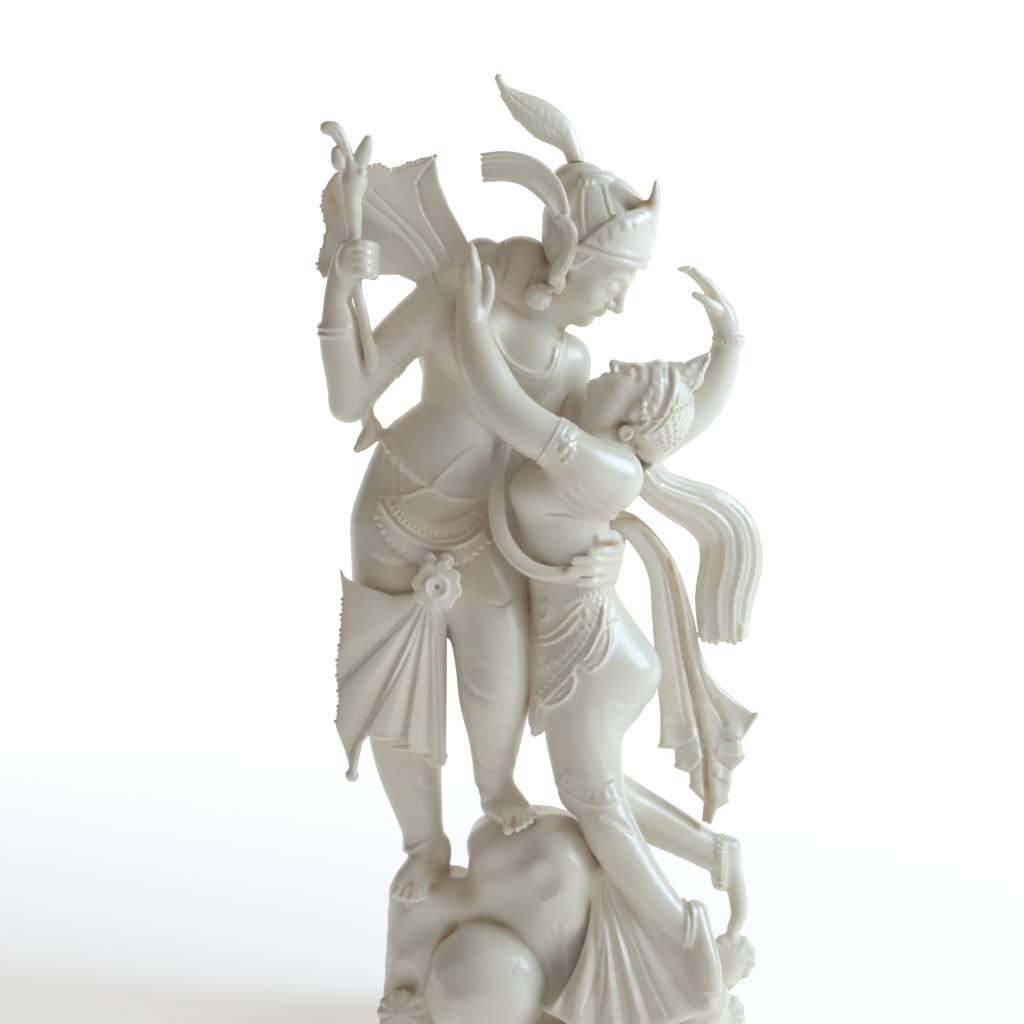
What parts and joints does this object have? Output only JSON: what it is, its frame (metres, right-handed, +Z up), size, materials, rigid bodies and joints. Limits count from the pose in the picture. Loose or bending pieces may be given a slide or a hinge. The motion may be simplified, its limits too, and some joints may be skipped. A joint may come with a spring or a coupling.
{
  "type": "krishna and radha figure",
  "caption": "Ivory-white carved group of a standing god holding a reclining lady on a low rock, with flying scarves and a tall crown plume.",
  "frame": {"origin": "middle of the flat underside of the rock", "axes": "+Z up, the viewer stands on the -Y side, +X to the viewer's right"},
  "size_m": [0.1328, 0.0688, 0.2905],
  "materials": {
    "ivory": "old ivory, hand polished, honey stains in the crevices",
    "plume_ivory": "old ivory, yellower than the group, hand polished"
  },
  "bodies": {
    "root": {"figure_group": "ivory", "crown_plume": "plume_ivory"}
  },
  "joints": []
}
